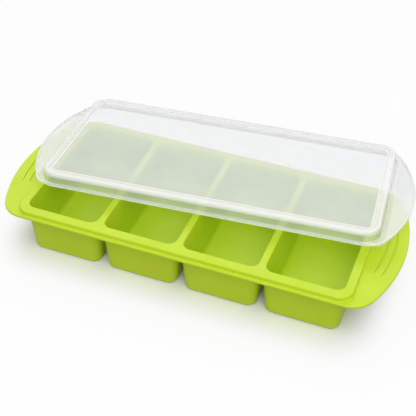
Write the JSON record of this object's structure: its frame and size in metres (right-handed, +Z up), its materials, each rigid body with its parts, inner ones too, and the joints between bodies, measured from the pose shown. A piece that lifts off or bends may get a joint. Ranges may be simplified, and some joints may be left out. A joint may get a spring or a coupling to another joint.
{
  "type": "baby food freezer tray",
  "caption": "Soft silicone freezer tray with a row of deep cells, a raised rim and two end handles, under a loose translucent lid lying askew.",
  "frame": {"origin": "on the surface the tray stands on, under the middle of the row of cells", "axes": "+X along the row of cells, +Y away from the viewer towards the side the lid is pushed to, +Z up"},
  "size_m": [0.2786, 0.1638, 0.0526],
  "materials": {
    "silicone": "smooth satin lime green silicone, slightly translucent at thin edges",
    "lid_plastic": "frosted, translucent colourless plastic with a soft sheen"
  },
  "bodies": {
    "tray": {"tray": "silicone"},
    "lid": {"lid": "lid_plastic"}
  },
  "joints": [
    {"name": "lid_lift", "type": "slide", "parent": "tray", "child": "lid", "axis": [0, 0, 1], "range_m": [0, 0.12]}
  ]
}
